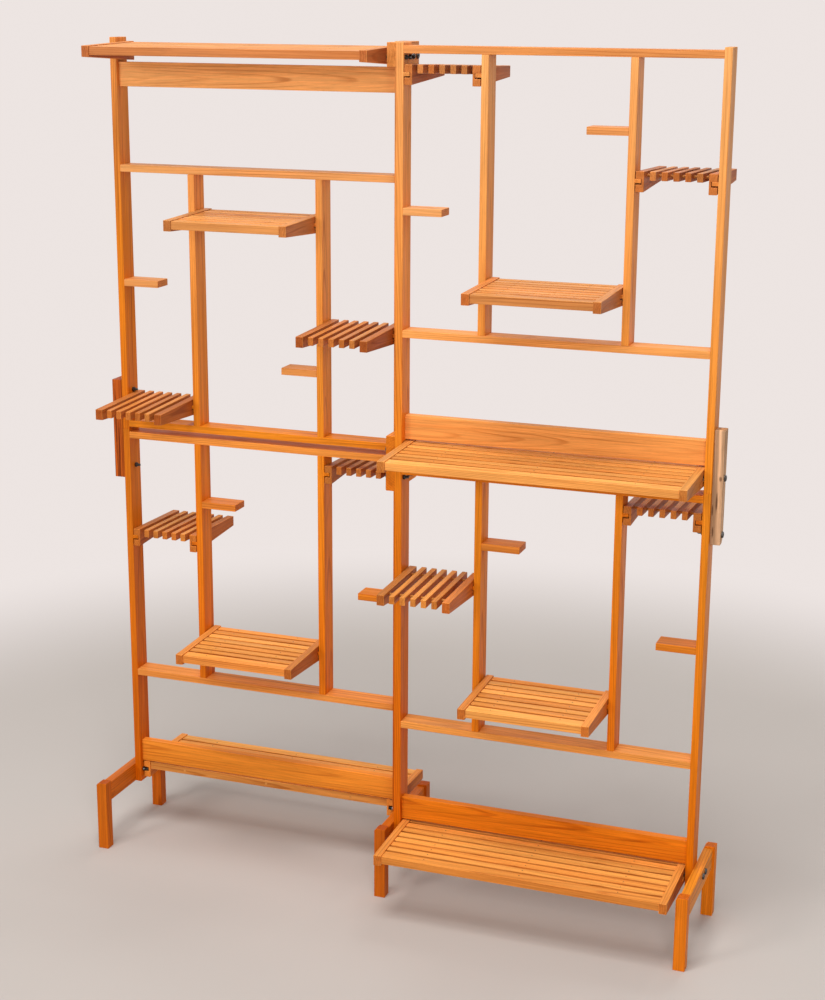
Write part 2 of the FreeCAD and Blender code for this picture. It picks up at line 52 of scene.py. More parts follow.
print("loaded", len(frame["nodes"]), "nodes,", len(shelfNodes), "shelves")


# Node helpers

def feed(tree, socket, value):
    if isinstance(value, bpy.types.NodeSocket):
        tree.links.new(value, socket)
    elif value is not None:
        socket.default_value = value


def calc(tree, operation, *values):
    node = tree.nodes.new("ShaderNodeMath")
    node.operation = operation
    for socket, value in zip(node.inputs, values):
        feed(tree, socket, value)
    return node.outputs[0]


def vectorCalc(tree, operation, *values):
    node = tree.nodes.new("ShaderNodeVectorMath")
    node.operation = operation
    for socket, value in zip(node.inputs, values):
        feed(tree, socket, value)
    return node.outputs["Value"] if operation == "LENGTH" else node.outputs["Vector"]


def joinXyz(tree, x, y, z):
    node = tree.nodes.new("ShaderNodeCombineXYZ")
    for socket, value in zip(node.inputs, (x, y, z)):
        feed(tree, socket, value)
    return node.outputs[0]


def splitXyz(tree, vector):
    node = tree.nodes.new("ShaderNodeSeparateXYZ")
    feed(tree, node.inputs[0], vector)
    return node.outputs


def noise(tree, vector, stretch, detail=2.0, roughness=0.5):
    node = tree.nodes.new("ShaderNodeTexNoise")
    feed(tree, node.inputs["Vector"], vectorCalc(tree, "MULTIPLY", vector, stretch))
    node.inputs["Scale"].default_value = 1.0
    node.inputs["Detail"].default_value = detail
    node.inputs["Roughness"].default_value = roughness
    return node.outputs["Fac"]


def span(tree, value, fromLow, fromHigh, toLow=0.0, toHigh=1.0):
    node = tree.nodes.new("ShaderNodeMapRange")
    for socket, entry in zip(node.inputs, (value, fromLow, fromHigh, toLow, toHigh)):
        feed(tree, socket, entry)
    return node.outputs[0]


# Most values of a noise lie between these two
usual = (0.32, 0.68)


def about(tree, value, amount):
    # Turns a noise into a factor close to one
    return span(tree, value, *usual, 1 - amount, 1 + amount)


def mixColour(tree, factor, first, second, blend="MIX"):
    node = tree.nodes.new("ShaderNodeMix")
    node.data_type = "RGBA"
    node.blend_type = blend
    feed(tree, node.inputs[0], factor)
    for socket, colour in ((node.inputs[6], first), (node.inputs[7], second)):
        feed(tree, socket, colour if isinstance(colour, bpy.types.NodeSocket) else (*colour, 1.0))
    return node.outputs[2]


def tinted(tree, factor, colour, tint):
    # Multiplies a colour by a tint, as far as the factor says
    return mixColour(tree, factor, colour, tint, "MULTIPLY")


def attribute(tree, name, output="Fac"):
    node = tree.nodes.new("ShaderNodeAttribute")
    node.attribute_name = name
    return node.outputs[output]


def newMaterial(name):
    material = bpy.data.materials.new(name)
    material.use_nodes = True
    tree = material.node_tree
    return material, tree, tree.nodes["Principled BSDF"]


def centred(tree, value, width):
    # Spreads a number between 0 and 1 over a width round zero
    return calc(tree, "MULTIPLY_ADD", value, width, -width / 2)


def addBump(tree, shader, height, strength, distance):
    node = tree.nodes.new("ShaderNodeBump")
    node.inputs["Strength"].default_value = strength
    node.inputs["Distance"].default_value = distance
    feed(tree, node.inputs["Height"], height)
    feed(tree, shader.inputs["Normal"], node.outputs["Normal"])


# Timber: growth rings round a heart that lies outside each board, so that a wide face shows arches
# and a narrow one lines, with brown streaks, fibres and pores along the board.
# Colours are linear. The colour goes from the tone given for near the floor to the one given for high on the
# stand, over the two heights given.

ash = {
    "lowTone": (0.76, 0.166, 0.0015), "middle": (0.85, 0.262, 0.014), "highTone": (0.90, 0.41, 0.13),
    "toneHeights": (0.2, 1.9),
    "late": (0.66, 0.50, 0.36), "cloud": (0.72, 0.54, 0.36), "cloudShare": 0.45,
    "ringWide": 0.0045, "ringBend": 0.014, "ringRipple": 0.0022, "ringShow": 0.85,
    "streak": 0.11, "fibre": 0.09, "pore": 0.18, "boardSpread": 0.06,
    "reddish": (0.98, 0.91, 0.85), "yellowish": (1.02, 1.08, 1.12),
    "endTone": (0.80, 0.66, 0.52), "edgeHighlightTone": (1.05, 1.04, 1.03), "darkeningTone": (0.60, 0.41, 0.39),
    "roughness": (0.36, 0.52), "ior": 1.19,
}

shelfAsh = dict(ash, lowTone=(0.95, 0.395, 0.078), middle=(0.93, 0.40, 0.09), highTone=(0.82, 0.37, 0.12),
                boardSpread=0.2, reddish=(0.96, 0.86, 0.76), yellowish=(1.03, 1.12, 1.22))


def plainLook(colour, **changes):
    # A timber of one tone at all heights
    return dict(ash, lowTone=colour, middle=colour, highTone=colour, **changes)


darkAsh = plainLook((0.46, 0.088, 0.008), late=(0.30, 0.20, 0.18), cloud=(0.4, 0.28, 0.3), cloudShare=0.9,
                    ringWide=0.0075, ringShow=1.0, streak=0.5)

paleOffcut = plainLook((0.66, 0.40, 0.23), late=(0.75, 0.66, 0.58), cloud=(0.62, 0.5, 0.42), cloudShare=0.6,
                       streak=0.4, fibre=0.16, roughness=(0.55, 0.7))

dowel = plainLook((0.66, 0.28, 0.07), ringShow=0.4)

# How dense each noise is, along the board first in the timber
density = {
    "bend": (1.8, 11, 11), "ripple": (9, 60, 60), "strong": (2.5, 40, 40), "cloud": (1.3, 75, 75),
    "streak": (2.6, 130, 130), "fibre": (7, 520, 520), "pore": (34, 1500, 1500), "gloss": (6, 40, 40),
    "knot": (260, 260, 90), "darkening": (420, 420, 420), "pit": (900, 900, 900),
}

# From which value of its noise each effect starts and where it is full
onset = {
    "strong": (0.38, 0.62), "cloud": (0.5, 0.7), "pore": (0.60, 0.72), "gloss": (0.35, 0.65),
    "knot": (0.8, 1.4), "darkening": (0.42, 0.68),
}

# Two more numbers from a board's own, and how far its grain is shifted along, across and through it
ownNumber = {"second": 7.31, "third": 3.17, "along": 9.7, "across": 0.016, "through": 0.014}

# A year's growth in shares of its usual width: what varies and what is always there
ringVary = (0.6, 0.7)

# How much of its lines shows where the rings are weakest, and how much lower than the rest they lie
weakestRing = 0.25
ringDepth = 0.5

# How uneven the outline of a knot is, as a share of its size
knotWobble = 0.6

# Share of dark wood across one year's growth: a narrow line at its end
lateWood = ((0.0, 0.06), (0.64, 0.14), (0.84, 1.0), (0.92, 1.0), (1.0, 0.06))


def ramp(tree, value, stops):
    node = tree.nodes.new("ShaderNodeValToRGB")
    feed(tree, node.inputs["Fac"], value)
    elements = node.color_ramp.elements
    for index, (place, colour) in enumerate(stops):
        stop = elements[0] if index == 0 else elements[-1] if index == len(stops) - 1 else elements.new(place)
        stop.position = place
        stop.color = (*colour, 1)
    return node.outputs["Color"]


def makeTimber(name, look, knots=()):
    material, tree, shader = newMaterial(name)
    board = attribute(tree, "board")
    other = calc(tree, "FRACT", calc(tree, "MULTIPLY", board, ownNumber["second"]))
    third = calc(tree, "FRACT", calc(tree, "MULTIPLY", board, ownNumber["third"]))
    shift = joinXyz(tree, calc(tree, "MULTIPLY", board, ownNumber["along"]),
                    centred(tree, other, ownNumber["across"]), centred(tree, third, ownNumber["through"]))
    place = vectorCalc(tree, "ADD", attribute(tree, "grain", "Vector"), shift)
    across = vectorCalc(tree, "MULTIPLY", place, (0.0, 1.0, 1.0))
    bend = calc(tree, "MULTIPLY", noise(tree, place, density["bend"]), look["ringBend"])
    ripple = calc(tree, "MULTIPLY", noise(tree, place, density["ripple"]), look["ringRipple"])
    heart = calc(tree, "ADD", vectorCalc(tree, "LENGTH", across), calc(tree, "ADD", bend, ripple))
    ringWide = calc(tree, "MULTIPLY_ADD", third, *(look["ringWide"] * share for share in ringVary))
    late = ramp(tree, calc(tree, "FRACT", calc(tree, "DIVIDE", heart, ringWide)),
                [(stop, (share,) * 3) for stop, share in lateWood])
    strong = span(tree, noise(tree, place, density["strong"], detail=1), *onset["strong"], weakestRing, 1.0)
    lateShare = calc(tree, "MULTIPLY", calc(tree, "MULTIPLY", late, strong), look["ringShow"])

    world = tree.nodes.new("ShaderNodeTexCoord").outputs["Object"]
    above = splitXyz(tree, world)[2]
    # How far up the tone's height ramp a point lies, moved per node
    heightShare = calc(tree, "ADD", span(tree, above, *look["toneHeights"]), attribute(tree, "toneShift"))
    colour = ramp(tree, heightShare, ((0.0, look["lowTone"]), (0.5, look["middle"]), (1.0, look["highTone"])))
    colour = tinted(tree, 1.0, colour, mixColour(tree, other, look["reddish"], look["yellowish"]))
    colour = tinted(tree, lateShare, colour, look["late"])
    cloudy = noise(tree, place, density["cloud"], detail=3, roughness=0.6)
    cloud = span(tree, cloudy, *onset["cloud"], 0.0, look["cloudShare"])
    colour = tinted(tree, cloud, colour, look["cloud"])

    streak = about(tree, noise(tree, place, density["streak"]), look["streak"])
    fibre = about(tree, noise(tree, place, density["fibre"], detail=1), look["fibre"])
    pore = span(tree, noise(tree, place, density["pore"], detail=1), *onset["pore"], 1.0, 1 - look["pore"])
    # Boards are darker by up to the spread and lighter by up to half of it
    tone = span(tree, board, 0.0, 1.0, 1 - look["boardSpread"], 1 + look["boardSpread"] * 0.5)
    shade = calc(tree, "MULTIPLY", calc(tree, "MULTIPLY", fibre, pore), calc(tree, "MULTIPLY", streak, tone))
    colour = tinted(tree, 1.0, colour, joinXyz(tree, shade, shade, shade))
    # Darker as far as each face's share says: painted shade on the slats' and brackets' faces and on the
    # small shelves in the bays; on some other parts only a darker tone
    colour = tinted(tree, attribute(tree, "darkening"), colour, look["darkeningTone"])
    colour = tinted(tree, attribute(tree, "endFace"), colour, look["endTone"])
    # Painted highlight: the rounded edges a little lighter
    colour = tinted(tree, attribute(tree, "edgeHighlight"), colour, look["edgeHighlightTone"])
    for knot in knots:
        colour = addKnot(tree, colour, world, knot)
    feed(tree, shader.inputs["Base Color"], colour)
    gloss = span(tree, noise(tree, place, density["gloss"]), *onset["gloss"], *look["roughness"])
    feed(tree, shader.inputs["Roughness"], gloss)
    shader.inputs["IOR"].default_value = look["ior"]
    height = calc(tree, "SUBTRACT", pore, calc(tree, "MULTIPLY", lateShare, ringDepth))
    addBump(tree, shader, height, strength=0.12, distance=0.0004)
    return material


def addKnot(tree, colour, world, knot):
    # Dark heart of a branch, or a streak where it is much longer than wide
    offset = vectorCalc(tree, "DIVIDE", vectorCalc(tree, "SUBTRACT", world, knot["at"]), knot["size"])
    wobble = calc(tree, "MULTIPLY", noise(tree, world, density["knot"]), knotWobble)
    away = calc(tree, "ADD", vectorCalc(tree, "LENGTH", offset), wobble)
    return mixColour(tree, span(tree, away, *onset["knot"], knot["share"], 0.0), colour, knot["tone"])


darkSteel = {
    "base": (0.10, 0.095, 0.09), "darkening": (0.03, 0.026, 0.024), "roughness": (0.28, 0.5), "metal": 0.9,
}
rustySteel = {
    "base": (0.14, 0.055, 0.022), "darkening": (0.06, 0.02, 0.01), "roughness": (0.5, 0.7), "metal": 0.3,
}


def makeSteel(name, look):
    material, tree, shader = newMaterial(name)
    coordinates = tree.nodes.new("ShaderNodeTexCoord").outputs["Object"]
    darkening = span(tree, noise(tree, coordinates, density["darkening"], detail=3, roughness=0.6), *onset["darkening"])
    feed(tree, shader.inputs["Base Color"], mixColour(tree, darkening, look["base"], look["darkening"]))
    feed(tree, shader.inputs["Roughness"], span(tree, darkening, 0.0, 1.0, *look["roughness"]))
    shader.inputs["Metallic"].default_value = look["metal"]
    addBump(tree, shader, noise(tree, coordinates, density["pit"]), strength=0.08, distance=0.0002)
    return material


def mark(at, size, share, tone):
    return {"at": at, "size": size, "share": share, "tone": tone}


# Streaks and knots of the two plates, by their place on the stand
leftMarks = (
    mark((-0.727, 0.023, 1.035), (0.0028, 0.02, 0.10), 0.75, (0.12, 0.018, 0.004)),
    mark((-0.720, 0.023, 0.985), (0.0022, 0.02, 0.06), 0.8, (0.10, 0.014, 0.003)),
    mark((-0.712, 0.023, 1.05), (0.0025, 0.02, 0.05), 0.6, (0.60, 0.15, 0.012)),
)
rightMarks = (
    mark((0.722, -0.055, 0.935), (0.016, 0.02, 0.10), 0.45, (0.42, 0.23, 0.12)),
    mark((0.7225, -0.057, 1.000), (0.0022, 0.012, 0.024), 0.9, (0.11, 0.05, 0.025)),
    mark((0.7145, -0.057, 0.982), (0.0018, 0.012, 0.014), 0.85, (0.12, 0.05, 0.02)),
    mark((0.7170, -0.057, 0.936), (0.0018, 0.012, 0.013), 0.85, (0.12, 0.05, 0.02)),
    mark((0.7285, -0.057, 1.051), (0.0035, 0.012, 0.006), 0.75, (0.16, 0.07, 0.03)),
)

materials = {
    "ash": makeTimber("varnishedAsh", ash),
    "shelf": makeTimber("shelfAsh", shelfAsh),
    "dark_wood": makeTimber("reddishOffcut", darkAsh, leftMarks),
    "pale_wood": makeTimber("paleOffcut", paleOffcut, rightMarks),
    "dowel": makeTimber("beechDowel", dowel),
    "steel": makeSteel("darkSteel", darkSteel),
    "nail": makeSteel("rustySteel", rustySteel),
}
print("materials", len(materials))


# Boards: a merged copy of a CAD node, its edges rounded, and each board's own length, width and thickness
# stored for the grain

edges = {"radius": 0.0013, "steps": 3, "profile": 0.6, "shortest": 0.004, "sharpFrom": math.radians(25)}
merge = {"within": 0.00001, "flatWithin": math.radians(1)}

# Where the heart lies beside a board's middle, and how far the grain leans from the board's length, across
# the width and the thickness. An end face looks along the board by at least endFrom.
sawn = {
    "heartWide": (-0.012, 0.012), "heartThin": (0.02, 0.045), "leanWide": (-0.02, 0.02),
    "leanThin": (0.0, 0.035), "endFrom": 0.75,
}

# Nodes with these words in their names are moved along the tone's height ramp and made darker, as far as
# their entries say.
# On the small shelves of the inner and outer bays the darkening is painted shade, for the shadow of the
# shelves and frames above; on the other nodes it only makes them darker.
tones = {
    "perches": {"toneShift": 0.25, "darkening": 0.3},
    "upper_left_outer_post_left": {"toneShift": -0.25, "darkening": 0.25},
    "upper_left_lower_rail": {"toneShift": 0.15, "darkening": 0.15},
    "upper_right_lower_rail": {"toneShift": 0.2},
    "upper_right_top_rail": {"toneShift": -0.1, "darkening": 0.55},
    "upper_right_wide_board": {"toneShift": 0.3},
    "lower_left_outer_post_left": {"darkening": 0.25},
    "lower_left_outer_post_right": {"toneShift": -0.15, "darkening": 0.25},
    "lower_left_top_rail": {"toneShift": 0.2},
    "lower_left_lower_rail": {"toneShift": 0.6, "darkening": 0.2},
    "lower_left_wide_board": {"toneShift": 0.55, "darkening": 0.1},
    "lower_right_outer_post_left": {"toneShift": -0.15, "darkening": 0.2},
    "lower_right_lower_rail": {"toneShift": 0.6, "darkening": 0.05},
    "lower_right_wide_board": {"toneShift": 0.3},
    "foot_left_bearer": {"toneShift": 0.3, "darkening": 0.55},
    "foot_centre_bearer": {"toneShift": 0.3, "darkening": 0.55},
    "foot_right_bearer": {"toneShift": 0.5},
    "foot_legs": {"toneShift": 0.25, "darkening": 0.7, "darkeningUpTo": 0.4},
    "shelf_upper_left_wide": {"darkening": 0.2},
    "shelf_upper_left_inner": {"darkening": 0.45},
    "shelf_upper_left_outer": {"darkening": 0.55},
    "shelf_lower_left_inner": {"darkening": 0.6},
    "shelf_lower_left_outer": {"darkening": 0.4},
    "shelf_lower_right_inner": {"darkening": 0.3},
    "shelf_lower_right_outer": {"darkening": 0.55},
    "shelf_lower_left_middle": {"darkening": 0.15},
    "shelf_lower_right_middle": {"darkening": 0.1},
    "shelf_upper_right_inner": {"darkening": 0.4},
    "shelf_upper_right_middle": {"darkening": 0.25},
    "shelf_upper_right_outer": {"darkening": 0.55},
}


def toneOf(node):
    return next((tone for word, tone in tones.items() if word in node), None)


def mergedCopy(node):
    mesh = bmesh.new()
    mesh.from_mesh(frame["nodes"][node].data)
    bmesh.ops.remove_doubles(mesh, verts=mesh.verts, dist=merge["within"])
    bmesh.ops.dissolve_limit(mesh, angle_limit=merge["flatWithin"], verts=mesh.verts, edges=mesh.edges)
    return mesh


def corners(verts):
    low = Vector(min(vert.co[axis] for vert in verts) for axis in range(3))
    high = Vector(max(vert.co[axis] for vert in verts) for axis in range(3))
    return low, high


def islandsOf(mesh):
    # The separate solids of a mesh, each as a list of its vertices, in the order of their places, so that
    # each run draws the same random numbers for the same solid
    waiting = set(mesh.verts)
    islands = []
    for start in mesh.verts:
        if start not in waiting:
            continue
        waiting.remove(start)
        found = [start]
        for vert in found:
            for edge in vert.link_edges:
                other = edge.other_vert(vert)
                if other in waiting:
                    waiting.remove(other)
                    found.append(other)
        islands.append(found)
    return sorted(islands, key=lambda island: tuple(round(value, 6) for value in corners(island)[0]))


def roundEdges(mesh):
    sharp = [edge for edge in mesh.edges if len(edge.link_faces) == 2
             and edge.calc_length() > edges["shortest"] and edge.calc_face_angle() > edges["sharpFrom"]]
    # The rounded faces are marked for a painted highlight along the edges
    edgeHighlight = mesh.faces.layers.float.new("edgeHighlight")
    result = bmesh.ops.bevel(mesh, geom=sharp, offset=edges["radius"], segments=edges["steps"],
                             profile=edges["profile"], affect="EDGES", clamp_overlap=True)
    for face in result["faces"]:
        face[edgeHighlight] = 1.0


def markGrain(mesh, chance, wholeSeed=True):
    # Stores each board's own place from its heart, with the length first
    grain = mesh.verts.layers.float_vector.new("grain")
    board = mesh.verts.layers.float.new("board") if wholeSeed else None
    endFace = mesh.faces.layers.float.new("endFace")
    for island in islandsOf(mesh):
        low, high = corners(island)
        centre = (low + high) / 2
        size = high - low
        long, wide, thin = sorted(range(3), key=lambda axis: -size[axis])
        side = chance.choice((-1, 1))
        heart = (chance.uniform(*sawn["heartWide"]), side * chance.uniform(*sawn["heartThin"]))
        lean = (chance.uniform(*sawn["leanWide"]), side * chance.uniform(*sawn["leanThin"]))
        seed = chance.random()
        for vert in island:
            spot = vert.co - centre
            vert[grain] = (spot[long], spot[wide] + heart[0] + lean[0] * spot[long],
                           spot[thin] + heart[1] + lean[1] * spot[long])
            if wholeSeed:
                vert[board] = seed
        for face in {face for vert in island for face in vert.link_faces}:
            face[endFace] = 1.0 if abs(face.normal[long]) > sawn["endFrom"] else 0.0


def markTone(mesh, tone):
    # Boards that begin to the right of the given x are not darkened
    layers = {name: mesh.verts.layers.float.new(name) for name in ("toneShift", "darkening")}
    for island in islandsOf(mesh):
        left = min(vert.co.x for vert in island)
        shares = {"toneShift": tone.get("toneShift", 0.0), "darkening": tone.get("darkening", 0.0)}
        if left > tone.get("darkeningUpTo", left):
            shares["darkening"] = 0.0
        for vert in island:
            for name, share in shares.items():
                vert[layers[name]] = share


# A face points a way when the cosine between its normal and the way is above this
sameWayFrom = 0.9


def paintShadeByWay(mesh, shares):
    # Painted shade on the faces that point one of these ways, as far as the way's share says
    darkening = mesh.faces.layers.float.new("darkening")
    mesh.normal_update()
    for face in mesh.faces:
        face[darkening] = sum(share for way, share in shares.items()
                          if face.normal.dot(Vector(way)) > sameWayFrom)


def finishMesh(mesh, name, material):
    data = bpy.data.meshes.new(name)
    mesh.to_mesh(data)
    mesh.free()
    data.materials.append(material)
    piece = bpy.data.objects.new(name, data)
    scene.collection.objects.link(piece)
    return piece


def standFor(piece, node, body):
    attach(piece, body)
    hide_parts(node)


slotOf = {entry["node"]: entry["material_slot"] for entry in frame["record"]["subparts"]}


def dressBoards(node):
    mesh = mergedCopy(node)
    roundEdges(mesh)
    markGrain(mesh, random.Random("grain of " + node))
    if toneOf(node):
        markTone(mesh, toneOf(node))
    slot = slotOf[node]
    piece = finishMesh(mesh, node + "_timber", materials[slot])
    standFor(piece, node, "frame")


fixedTimber = [node for node in frame["nodes"] if node not in shelfNodes and slotOf[node] != "steel"]
for node in fixedTimber:
    dressBoards(node)
print("boards, cleats, plates and feet", len(fixedTimber))


# Geometry Nodes trees for what repeats

def newTree(name, inputs):
    tree = bpy.data.node_groups.new(name, "GeometryNodeTree")
    for label, kind in inputs:
        tree.interface.new_socket(label, in_out="INPUT", socket_type="NodeSocket" + kind)
    tree.interface.new_socket("Geometry", in_out="OUTPUT", socket_type="NodeSocketGeometry")
    return tree, tree.nodes.new("NodeGroupInput"), tree.nodes.new("NodeGroupOutput")


def partIn(tree, source, label):
    info = tree.nodes.new("GeometryNodeObjectInfo")
    tree.links.new(source.outputs[label], info.inputs["Object"])
    return info.outputs["Geometry"]


def numberEach(tree, instances, seed):
    # Gives every copy its own number between 0 and 1, which the timber reads
    value = tree.nodes.new("FunctionNodeRandomValue")
    value.data_type = "FLOAT"
    tree.links.new(seed, value.inputs["Seed"])
    store = tree.nodes.new("GeometryNodeStoreNamedAttribute")
    store.data_type = "FLOAT"
    store.domain = "INSTANCE"
    store.inputs["Name"].default_value = "board"
    tree.links.new(instances, store.inputs["Geometry"])
    tree.links.new(value.outputs[1], store.inputs["Value"])
    return store.outputs["Geometry"]


def endTree(tree, source, target, geometry):
    real = tree.nodes.new("GeometryNodeRealizeInstances")
    finish = tree.nodes.new("GeometryNodeSetMaterial")
    tree.links.new(geometry, real.inputs["Geometry"])
    tree.links.new(real.outputs["Geometry"], finish.inputs["Geometry"])
    tree.links.new(source.outputs["Finish"], finish.inputs["Material"])
    tree.links.new(finish.outputs["Geometry"], target.inputs["Geometry"])


def makeRowTree():
    # Copies of one part in a straight row
    inputs = (("Part", "Object"), ("Count", "Int"), ("First", "Vector"), ("Step", "Vector"), ("Seed", "Int"),
              ("Finish", "Material"))
    tree, source, target = newTree("partsInRow", inputs)
    line = tree.nodes.new("GeometryNodeMeshLine")
    line.mode = "OFFSET"
    tree.links.new(source.outputs["Count"], line.inputs["Count"])
    tree.links.new(source.outputs["First"], line.inputs["Start Location"])
    tree.links.new(source.outputs["Step"], line.inputs["Offset"])
    copies = tree.nodes.new("GeometryNodeInstanceOnPoints")
    tree.links.new(line.outputs["Mesh"], copies.inputs["Points"])
    tree.links.new(partIn(tree, source, "Part"), copies.inputs["Instance"])
    numbered = numberEach(tree, copies.outputs["Instances"], source.outputs["Seed"])
    endTree(tree, source, target, numbered)
    return tree


def makeSpotTree():
    # Copies of one part on marked spots, each turned as its spot says
    inputs = (("Spots", "Geometry"), ("Part", "Object"), ("Seed", "Int"), ("Finish", "Material"))
    tree, source, target = newTree("partsOnSpots", inputs)
    turn = tree.nodes.new("GeometryNodeInputNamedAttribute")
    turn.data_type = "FLOAT_VECTOR"
    turn.inputs["Name"].default_value = "turn"
    toRotation = tree.nodes.new("FunctionNodeEulerToRotation")
    tree.links.new(turn.outputs["Attribute"], toRotation.inputs["Euler"])
    copies = tree.nodes.new("GeometryNodeInstanceOnPoints")
    tree.links.new(source.outputs["Spots"], copies.inputs["Points"])
    tree.links.new(partIn(tree, source, "Part"), copies.inputs["Instance"])
    tree.links.new(toRotation.outputs["Rotation"], copies.inputs["Rotation"])
    numbered = numberEach(tree, copies.outputs["Instances"], source.outputs["Seed"])
    endTree(tree, source, target, numbered)
    return tree


def runTree(name, tree, base, values):
    # Runs a tree on a carrier object and gives the result as a plain mesh object
    carrier = bpy.data.objects.new(name + "Carrier", base or bpy.data.meshes.new(name + "Base"))
    scene.collection.objects.link(carrier)
    modifier = carrier.modifiers.new("make", "NODES")
    modifier.node_group = tree
    for item in tree.interface.items_tree:
        if item.in_out == "INPUT" and item.name in values:
            modifier[item.identifier] = values[item.name]
    bpy.context.view_layer.update()
    ready = carrier.evaluated_get(bpy.context.evaluated_depsgraph_get())
    piece = bpy.data.objects.new(name, bpy.data.meshes.new_from_object(ready))
    scene.collection.objects.link(piece)
    carrier.modifiers.clear()
    bpy.data.objects.remove(carrier)
    return piece


def joinPieces(pieces, name):
    with bpy.context.temp_override(active_object=pieces[0], object=pieces[0], selected_objects=pieces,
                                   selected_editable_objects=pieces):
        bpy.ops.object.join()
    pieces[0].name = name
    return pieces[0]


rowTree = makeRowTree()
spotTree = makeSpotTree()
seeds = {"heads": 3, "ends": 4, "nuts": 5, "longSlats": 11, "rods": 12, "crossSlats": 13, "lip": 14,
         "dowels": 15, "pins": 16}


# Round and hexagonal parts: rings of points round the X axis from a list of places and radii

smoothUpTo = math.radians(32)


def roundRadius(radius):
    return lambda angle: radius


def hexRadius(across, limit=1.0):
    # Distance to the side of a hexagon with two level flats, cut off at a limit
    def reach(angle):
        return min(across / 2 / math.cos(angle % (math.pi / 3) - math.pi / 6), limit)
    return reach


def turnedPart(name, profile, steps, material):
    mesh = bmesh.new()
    rings = []
    for x, reach in profile:
        if reach is None:
            rings.append([mesh.verts.new((x, 0, 0))])
            continue
        angles = [math.tau * step / steps for step in range(steps)]
        rings.append([mesh.verts.new((x, reach(angle) * math.cos(angle), reach(angle) * math.sin(angle)))
                      for angle in angles])
    for near, far in zip(rings, rings[1:]):
        for step in range(steps):
            after = (step + 1) % steps
            quad = [near[step % len(near)], near[after % len(near)],
                    far[after % len(far)], far[step % len(far)]]
            mesh.faces.new(list(dict.fromkeys(quad)))
    bmesh.ops.recalc_face_normals(mesh, faces=mesh.faces)
    part = finishMesh(mesh, name, material)
    for polygon in part.data.polygons:
        polygon.use_smooth = True
    part.data.set_sharp_from_angle(angle=smoothUpTo)
    return part


def spotMesh(name, spots):
    data = bpy.data.meshes.new(name)
    data.from_pydata([place for place, turn in spots], [], [])
    turns = data.attributes.new("turn", "FLOAT_VECTOR", "POINT")
    for entry, (place, turn) in zip(turns.data, spots):
        entry.vector = turn
    return data


def putOnSpots(name, part, spots, seed, finish):
    values = {"Part": part, "Seed": seed, "Finish": materials[finish]}
    return runTree(name, spotTree, spotMesh(name + "Spots", spots), values)


# Bolts and nuts

bolt = {
    "headWide": 0.014, "headHigh": 0.004, "headBevel": 0.0003, "socketWide": 0.005, "socketDeep": 0.0024,
    "wide": 0.006, "shankLong": 0.030, "pitch": 0.001, "threadDeep": 0.00045, "threadFrom": -0.012,
    "crestHalf": 0.0001, "tipBevel": 0.0008, "proud": 0.013, "nutWide": 0.00996, "nutHigh": 0.005,
    "nutBevel": 0.0005, "holeBevel": 0.0004, "holePlay": 0.0001, "steps": 24, "endSteps": 16,
}

# The head's rounded rim: how far below its top and how far in from its side each ring lies
rim = ((0.0, 0.0034), (0.0, 0.0016), (0.0004, 0.0009), (0.0012, 0.0003), (0.002, 0.0))


def makeHead():
    wide = bolt["headWide"] / 2
    high = bolt["headHigh"]
    socket = hexRadius(bolt["socketWide"])
    bevel = bolt["headBevel"]
    shank = roundRadius(bolt["wide"] / 2)
    profile = [(bolt["socketDeep"] - high, None), (bolt["socketDeep"] - high, socket), (-high, socket)]
    profile += [(-high + below, roundRadius(wide - inside)) for below, inside in rim]
    profile += [(-bevel, roundRadius(wide)), (0.0, roundRadius(wide - bevel)), (0.0, shank),
                (bolt["shankLong"], shank), (bolt["shankLong"], None)]
    return turnedPart("boltHead", profile, bolt["steps"], materials["steel"])


def makeThread():
    # The threaded end, which starts inside the post and stands out of the nut
    crest = bolt["wide"] / 2
    root = crest - bolt["threadDeep"]
    start = bolt["threadFrom"]
    end = bolt["proud"] - bolt["tipBevel"]
    profile = [(start, None), (start, roundRadius(root))]
    x = start + bolt["pitch"] / 2
    while x < end - bolt["pitch"] / 2:
        profile.append((x - bolt["crestHalf"], roundRadius(crest)))
        profile.append((x + bolt["crestHalf"], roundRadius(crest)))
        profile.append((x + bolt["pitch"] / 2, roundRadius(root)))
        x += bolt["pitch"]
    profile += [(end, roundRadius(root)), (bolt["proud"], roundRadius(crest - bolt["tipBevel"])),
                (bolt["proud"], None)]
    return turnedPart("boltEnd", profile, bolt["endSteps"], materials["steel"])


def makeNut():
    across = bolt["nutWide"]
    high = bolt["nutHigh"]
    hole = bolt["wide"] / 2 + bolt["holePlay"]
    corner = across / 2 / math.cos(math.pi / 6)
    cut = bolt["nutBevel"]
    bevel = bolt["holeBevel"]
    profile = [(0.0, roundRadius(hole)), (0.0, hexRadius(across, across / 2)),
               (cut, hexRadius(across, corner)), (high - cut, hexRadius(across, corner)),
               (high, hexRadius(across, across / 2)), (high, roundRadius(hole + bevel)),
               (high - bevel, roundRadius(hole)), (0.0, roundRadius(hole))]
    return turnedPart("hexNut", profile, bolt["steps"], materials["steel"])


